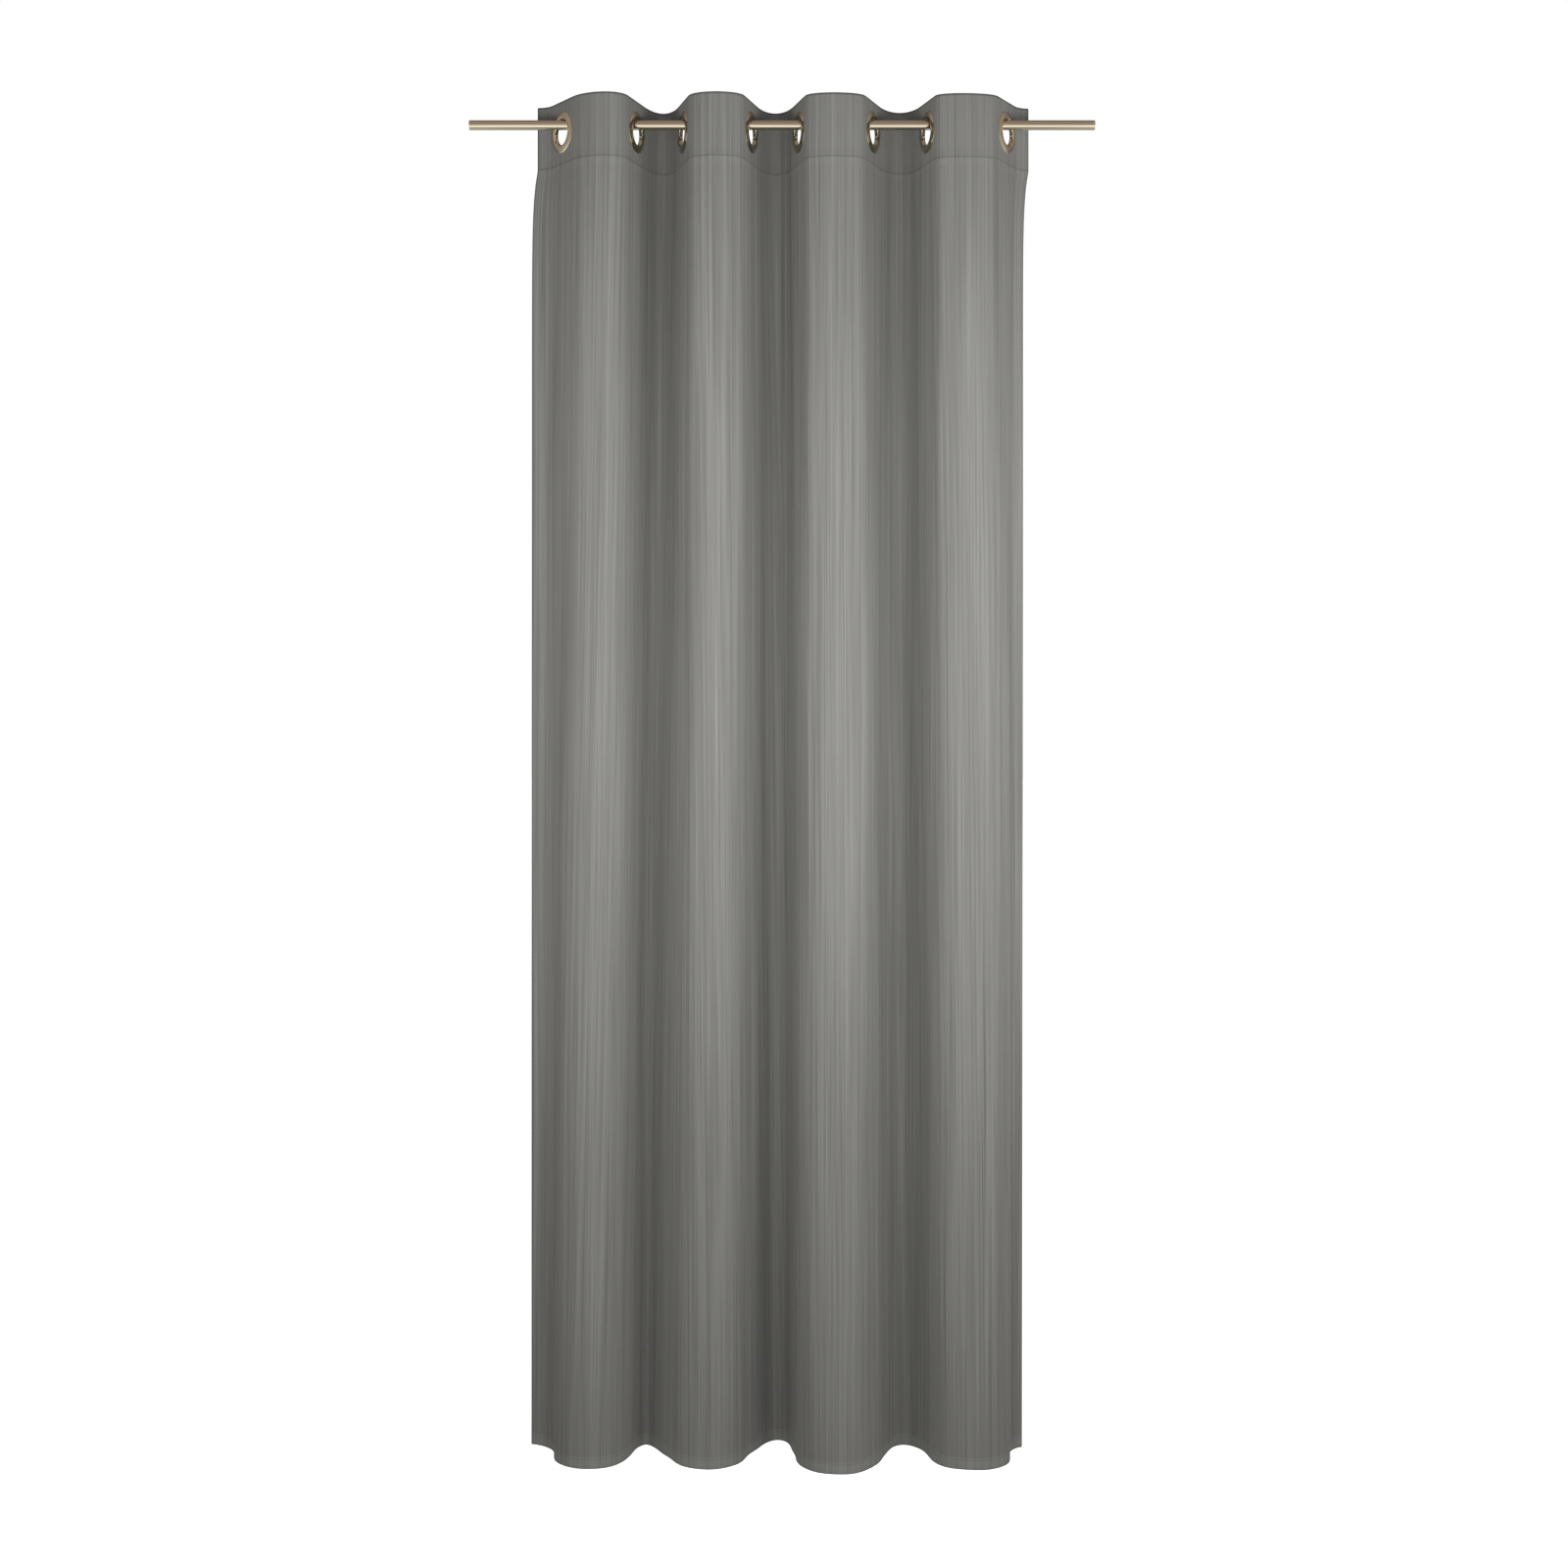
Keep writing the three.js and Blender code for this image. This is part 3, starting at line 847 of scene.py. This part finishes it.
# %% The two profiles
FRONT_TOP = -0.1  # the flanges stay this clear of the cloth
front_profile = rounded(
    [
        (BARREL, HEADING_THICKNESS + 1.4),
        (BARREL, FRONT_TOP - 1.2),
        (BARREL + 1.7, FRONT_TOP - 2.7),
        (BARREL + 5.2, FRONT_TOP - 3.1),
        (BARREL + 9.0, FRONT_TOP - 2.3),
        (EYELET_RADIUS, FRONT_TOP - 0.7),
        (EYELET_RADIUS, FRONT_TOP),
        (EYELET_RADIUS - 1.0, FRONT_TOP),
        (BARREL + 8.6, FRONT_TOP - 1.4),
        (BARREL + 5.2, FRONT_TOP - 2.1),
        (BARREL + 2.2, FRONT_TOP - 1.7),
        (BARREL + 1.2, FRONT_TOP - 0.6),
        (BARREL + 1.2, HEADING_THICKNESS + 1.4),
    ],
    0.9,
)
BACK = HEADING_THICKNESS + 0.1
back_profile = rounded(
    [
        (BARREL + 1.4, BACK),
        (BARREL + 1.4, BACK + 1.5),
        (BARREL + 3.0, BACK + 2.1),
        (BARREL + 7.0, BACK + 2.1),
        (EYELET_RADIUS - 1.5, BACK + 0.7),
        (EYELET_RADIUS - 1.5, BACK),
        (EYELET_RADIUS - 2.6, BACK),
        (BARREL + 6.8, BACK + 1.2),
        (BARREL + 3.2, BACK + 1.2),
    ],
    0.6,
)
print("profiles:", len(front_profile), "and", len(back_profile), "points")


# %% Standing the rings in the cloth
def stand_in_cloth(bm, k):
    """Turns a ring to face through the cloth at that eyelet, and moves it there, in metres."""
    s = eyelet_across[k]
    x, y = through(np.array(s), np.array(EYELET_BELOW_TOP))
    spot = hang(s, EYELET_BELOW_TOP, 0)
    for vertex in bm.verts:
        a, b, c = vertex.co
        vertex.co = (
            spot[0] + (a * y + b * x) * MM,
            spot[1] + (-a * x + b * y) * MM,
            spot[2] + c * MM,
        )


rings = []
for k in range(EYELET_COUNT):
    for half, profile in (("front", front_profile), ("back", back_profile)):
        bm = bmesh.new()
        turned_ring(bm, profile)
        stand_in_cloth(bm, k)
        for face in bm.faces:
            face.smooth = True
        ring = mesh_object(f"eyelet_ring_{k + 1}_{half}", bm)
        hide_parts(f"eyelet_{k + 1}_{half}")
        rings.append((ring, k))
print("rings:", len(rings), "of", len(rings[0][0].data.polygons), "faces")

# %% [markdown]
# ## The rod
#
# A plain tube, cut square, with the tiny bevel that a file leaves on a cut edge.

# %% Rod
ROD_RADIUS = 8.0
ROD_WALL = 1.2
low, high = (corner.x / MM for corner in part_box("rod"))
bm = bmesh.new()
tube = rounded(
    [
        (ROD_RADIUS - ROD_WALL, low),
        (ROD_RADIUS, low),
        (ROD_RADIUS, high),
        (ROD_RADIUS - ROD_WALL, high),
    ],
    0.3,
    steps=2,
)
turned_ring(bm, tube, steps=96)
for vertex in bm.verts:
    a, b, c = vertex.co
    vertex.co = (b * MM, -a * MM, c * MM)
bmesh.ops.recalc_face_normals(bm, faces=bm.faces)
for face in bm.faces:
    face.smooth = True
rod = mesh_object("curtain_rod", bm)
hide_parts("rod")
print("rod from", round(low), "to", round(high), "mm")

# %% [markdown]
# ## Materials: the cloth
#
# The cloth is woven of dark grey yarn that is never quite even: fine upright stripes run the whole
# drop, each a few millimetres wide. A noise that is squeezed across and stretched along draws
# them. A second, finer pattern of slanting ribs gives the weave, as bump. The colour follows the
# piece's own flat map, so the stripes bend with every fold.

# %% Helpers for materials
def new_material(name):
    """A material with its node tree and its finish."""
    material = bpy.data.materials.new(name)
    material.use_nodes = True
    tree = material.node_tree
    return material, tree, tree.nodes["Principled BSDF"]


def math_node(tree, operation, a, b=None):
    """One sum. a and b are numbers or sockets."""
    node = tree.nodes.new("ShaderNodeMath")
    node.operation = operation
    for socket, value in zip(node.inputs, (a, b)):
        if value is None:
            continue
        if isinstance(value, bpy.types.NodeSocket):
            tree.links.new(value, socket)
        else:
            socket.default_value = value
    return node.outputs[0]


def stretched_noise(tree, coordinates, scale, detail=2.0):
    """Noise over the coordinates, each scaled on its own."""
    mapping = new_node(tree, "Mapping")
    mapping.inputs["Scale"].default_value = scale
    tree.links.new(coordinates, mapping.inputs["Vector"])
    noise = new_node(tree, "TexNoise", noise_dimensions="2D")
    noise.inputs["Scale"].default_value = 1
    noise.inputs["Detail"].default_value = detail
    noise.inputs["Roughness"].default_value = 0.6
    tree.links.new(mapping.outputs[0], noise.inputs["Vector"])
    return noise.outputs[0]


def band(tree, value, centre, half):
    """1 in the middle of a narrow band of that value, fading to 0 at its edges."""
    away = math_node(tree, "ABSOLUTE", math_node(tree, "SUBTRACT", value, centre))
    inside = math_node(tree, "SUBTRACT", 1.0, math_node(tree, "DIVIDE", away, half))
    return math_node(tree, "MAXIMUM", inside, 0.0)


def darken(tree, bright, amount, *bands):
    """Painted shade: takes a share off the brightness inside each band."""
    for inside in bands:
        kept = math_node(tree, "SUBTRACT", 1.0, math_node(tree, "MULTIPLY", inside, amount))
        bright = math_node(tree, "MULTIPLY", bright, kept)
    return bright


print("material helpers are ready")

# %% Cloth
FINE_STRIPES, MIDDLE_STRIPES, BROAD_STRIPES, CLOUDS = 0.80, 0.42, 0.20, 0.12
HEM_PALER = 0.16
# painted shade in the furrows along the heading and foot seams: the band's half-width, and how
# much it darkens
SEAM_SHADE_REACH = 1.5 * MM
HEADING_SEAM_PAINTED_SHADE, FOOT_SEAM_PAINTED_SHADE = 0.30, 0.10
# painted shade along the four folded edges: the line's half-width, and how much it darkens
EDGE_SHADE_REACH = 2.6 * MM
EDGE_PAINTED_SHADE = 0.7
PUCKER_REACH = 14 * MM
RIBS = 420  # how fine the ribs of the twill are
CLOTH_GREY = (0.262, 0.260, 0.246)


def woven_cloth(name, colour):
    """Uneven grey yarn with a paler hem, and painted shade along the seams and the folded edges.
    """
    material, tree, finish = new_material(name)
    flat = new_node(tree, "UVMap", uv_map="flat").outputs[0]
    split = tree.nodes.new("ShaderNodeSeparateXYZ")
    tree.links.new(flat, split.inputs[0])
    s, height = split.outputs["X"], split.outputs["Y"]
    # stripes of three widths, and slow clouds
    fine = stretched_noise(tree, flat, (420, 2.2, 1), 3)
    bright = 1.0
    for noise, amount in (
        (fine, FINE_STRIPES),
        (stretched_noise(tree, flat, (150, 1.4, 1), 1), MIDDLE_STRIPES),
        (stretched_noise(tree, flat, (60, 0.8, 1), 1), BROAD_STRIPES),
        (stretched_noise(tree, flat, (9, 1.6, 1), 2), CLOUDS),
    ):
        part = math_node(tree, "MULTIPLY", math_node(tree, "SUBTRACT", noise, 0.5), amount)
        bright = math_node(tree, "ADD", bright, part)
    # the hem is three layers thick and lets less light through, so it looks paler
    past = math_node(tree, "LESS_THAN", height, -(hem_line - 1) * MM)
    hem = math_node(tree, "ADD", math_node(tree, "MULTIPLY", past, HEM_PALER), 1.0)
    bright = math_node(tree, "MULTIPLY", bright, hem)
    # painted shade: the colour is darkened in the little furrow along each row of stitches and
    # along each folded edge, where shade falls
    heading_seam_shade_band = band(tree, height, -heading_line * MM, SEAM_SHADE_REACH)
    foot_seam_shade_band = band(tree, height, -foot_line * MM, SEAM_SHADE_REACH)
    bright = darken(tree, bright, HEADING_SEAM_PAINTED_SHADE, heading_seam_shade_band)
    bright = darken(tree, bright, FOOT_SEAM_PAINTED_SHADE, foot_seam_shade_band)
    # painted shade: a thin dark line along the top, the foot and both sides of the cloth
    bright = darken(
        tree,
        bright,
        EDGE_PAINTED_SHADE,
        band(tree, height, 0.0, EDGE_SHADE_REACH),
        band(tree, height, -PANEL_DROP * MM, EDGE_SHADE_REACH),
        band(tree, s, 0.0, EDGE_SHADE_REACH),
        band(tree, s, PANEL_WIDTH * MM, EDGE_SHADE_REACH),
    )
    tint = new_node(tree, "VectorMath", operation="SCALE")
    tint.inputs[0].default_value = colour
    tree.links.new(bright, tint.inputs["Scale"])
    tree.links.new(tint.outputs[0], finish.inputs["Base Color"])
    # twill: fine ribs that run at a slant
    ribs = new_node(tree, "TexWave", wave_type="BANDS", bands_direction="DIAGONAL")
    ribs.inputs["Scale"].default_value = RIBS
    ribs.inputs["Distortion"].default_value = 1.5
    ribs.inputs["Detail"].default_value = 2
    tree.links.new(flat, ribs.inputs["Vector"])
    yarn = math_node(tree, "ADD", math_node(tree, "MULTIPLY", ribs.outputs["Fac"], 0.5), fine)
    bump = new_node(tree, "Bump")
    bump.inputs["Strength"].default_value = 0.4
    bump.inputs["Distance"].default_value = 0.0004
    tree.links.new(yarn, bump.inputs["Height"])
    # the stitches draw the cloth up into small puckers
    near_seam = band(tree, height, -heading_line * MM, PUCKER_REACH)
    pucker = math_node(tree, "MULTIPLY", stretched_noise(tree, flat, (95, 30, 1), 1), near_seam)
    puckered = new_node(tree, "Bump")
    puckered.inputs["Strength"].default_value = 0.8
    puckered.inputs["Distance"].default_value = 0.003
    tree.links.new(pucker, puckered.inputs["Height"])
    tree.links.new(bump.outputs[0], puckered.inputs["Normal"])
    tree.links.new(puckered.outputs[0], finish.inputs["Normal"])
    rough = math_node(tree, "ADD", math_node(tree, "MULTIPLY", ribs.outputs["Fac"], 0.08), 0.84)
    tree.links.new(rough, finish.inputs["Roughness"])
    finish.inputs["Specular IOR Level"].default_value = 0.25
    finish.inputs["Sheen Weight"].default_value = 0.12
    finish.inputs["Sheen Roughness"].default_value = 0.5
    return material


curtain.data.materials.append(woven_cloth("grey_woven_cloth", CLOTH_GREY))
print("cloth colour", CLOTH_GREY)

# %% [markdown]
# ## Materials: tape, thread and label
#
# The small soft parts get finishes of their own: fibres pressed in every direction for the tape, a
# fine grain for the thread, and a close satin for the label.

# %% Tape, thread and label
def fibrous(name, colour, scale, contrast, roughness, sheen=0.1, depth=0.0002):
    """A matt finish with fine grain. It reads Object coordinates, in metres."""
    material, tree, finish = new_material(name)
    place = new_node(tree, "TexCoord").outputs["Object"]
    noise = new_node(tree, "TexNoise")
    noise.inputs["Scale"].default_value = scale
    noise.inputs["Detail"].default_value = 4
    tree.links.new(place, noise.inputs["Vector"])
    darker = tuple(c * (1 - contrast) for c in colour)
    lighter = tuple(min(1, c * (1 + contrast)) for c in colour)
    ramp = colour_ramp(tree, [(0.3, darker), (0.7, lighter)], smooth=False)
    tree.links.new(noise.outputs[0], ramp.inputs[0])
    tree.links.new(ramp.outputs["Color"], finish.inputs["Base Color"])
    bump = new_node(tree, "Bump")
    bump.inputs["Strength"].default_value = 0.3
    bump.inputs["Distance"].default_value = depth
    tree.links.new(noise.outputs[0], bump.inputs["Height"])
    tree.links.new(bump.outputs[0], finish.inputs["Normal"])
    shine = math_node(tree, "ADD", math_node(tree, "MULTIPLY", noise.outputs[0], 0.1), roughness)
    tree.links.new(shine, finish.inputs["Roughness"])
    finish.inputs["Sheen Weight"].default_value = sheen
    return material


tape.data.materials.append(fibrous("pressed_fibre_tape", (0.72, 0.70, 0.64), 900, 0.15, 0.85))
thread = fibrous("sewing_thread", (0.13, 0.13, 0.12), 2500, 0.3, 0.65)
for line in seams:
    line.data.materials.append(thread)
label.data.materials.append(fibrous("satin_ribbon", (0.82, 0.81, 0.77), 1800, 0.06, 0.5))
print("small soft parts are finished")

# %% [markdown]
# ## Materials: champagne metal
#
# The eyelets are plated and polished; the rod is plated much the same colour with a softer shine.
# Metal of one even roughness looks made by a computer. Slightly uneven roughness, and the faint
# lines that polishing leaves, make it look handled.

# %% Metal
UNEVEN_SHINE = 0.10
DULL = 0.86  # the colour's share that is left in the duller marks


def plated_metal(name, colour, roughness, squeeze, depth):
    """Polished plating. squeeze is how fine the polishing marks are along each axis."""
    material, tree, finish = new_material(name)
    place = new_node(tree, "TexCoord").outputs["Object"]
    mapping = new_node(tree, "Mapping")
    mapping.inputs["Scale"].default_value = squeeze
    tree.links.new(place, mapping.inputs["Vector"])
    marks = new_node(tree, "TexNoise")
    marks.inputs["Scale"].default_value = 1
    marks.inputs["Detail"].default_value = 3
    tree.links.new(mapping.outputs[0], marks.inputs["Vector"])
    dull = tuple(c * DULL for c in colour)
    ramp = colour_ramp(tree, [(0.35, dull), (0.65, colour)], smooth=False)
    tree.links.new(marks.outputs[0], ramp.inputs[0])
    tree.links.new(ramp.outputs["Color"], finish.inputs["Base Color"])
    finish.inputs["Metallic"].default_value = 1
    uneven = math_node(tree, "MULTIPLY", marks.outputs[0], UNEVEN_SHINE)
    shine = math_node(tree, "ADD", uneven, roughness)
    tree.links.new(shine, finish.inputs["Roughness"])
    bump = new_node(tree, "Bump")
    bump.inputs["Strength"].default_value = 0.08
    bump.inputs["Distance"].default_value = depth
    tree.links.new(marks.outputs[0], bump.inputs["Height"])
    tree.links.new(bump.outputs[0], finish.inputs["Normal"])
    return material


CHAMPAGNE = (0.56, 0.52, 0.41)
ROD_CHAMPAGNE = (0.58, 0.52, 0.43)
ring_metal = plated_metal("polished_champagne", CHAMPAGNE, 0.05, (350, 350, 350), 0.00005)
rod_metal = plated_metal("satin_champagne", ROD_CHAMPAGNE, 0.09, (6, 400, 400), 0.00001)
for ring, _ in rings:
    ring.data.materials.append(ring_metal)
rod.data.materials.append(rod_metal)
print("metal colours set")

# %% [markdown]
# ## Fastening everything to the frame
#
# Last, each piece is told which body it moves with.

# %% Riding
for piece in (curtain, tape, label, *seams):
    soft_ride(piece)
for ring, k in rings:
    middle = hang(eyelet_across[k], EYELET_BELOW_TOP, HEADING_THICKNESS / 2)
    soft_ride(ring, body="panel" if k == 0 else f"eyelet_{k + 1}")
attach(rod, "rod")
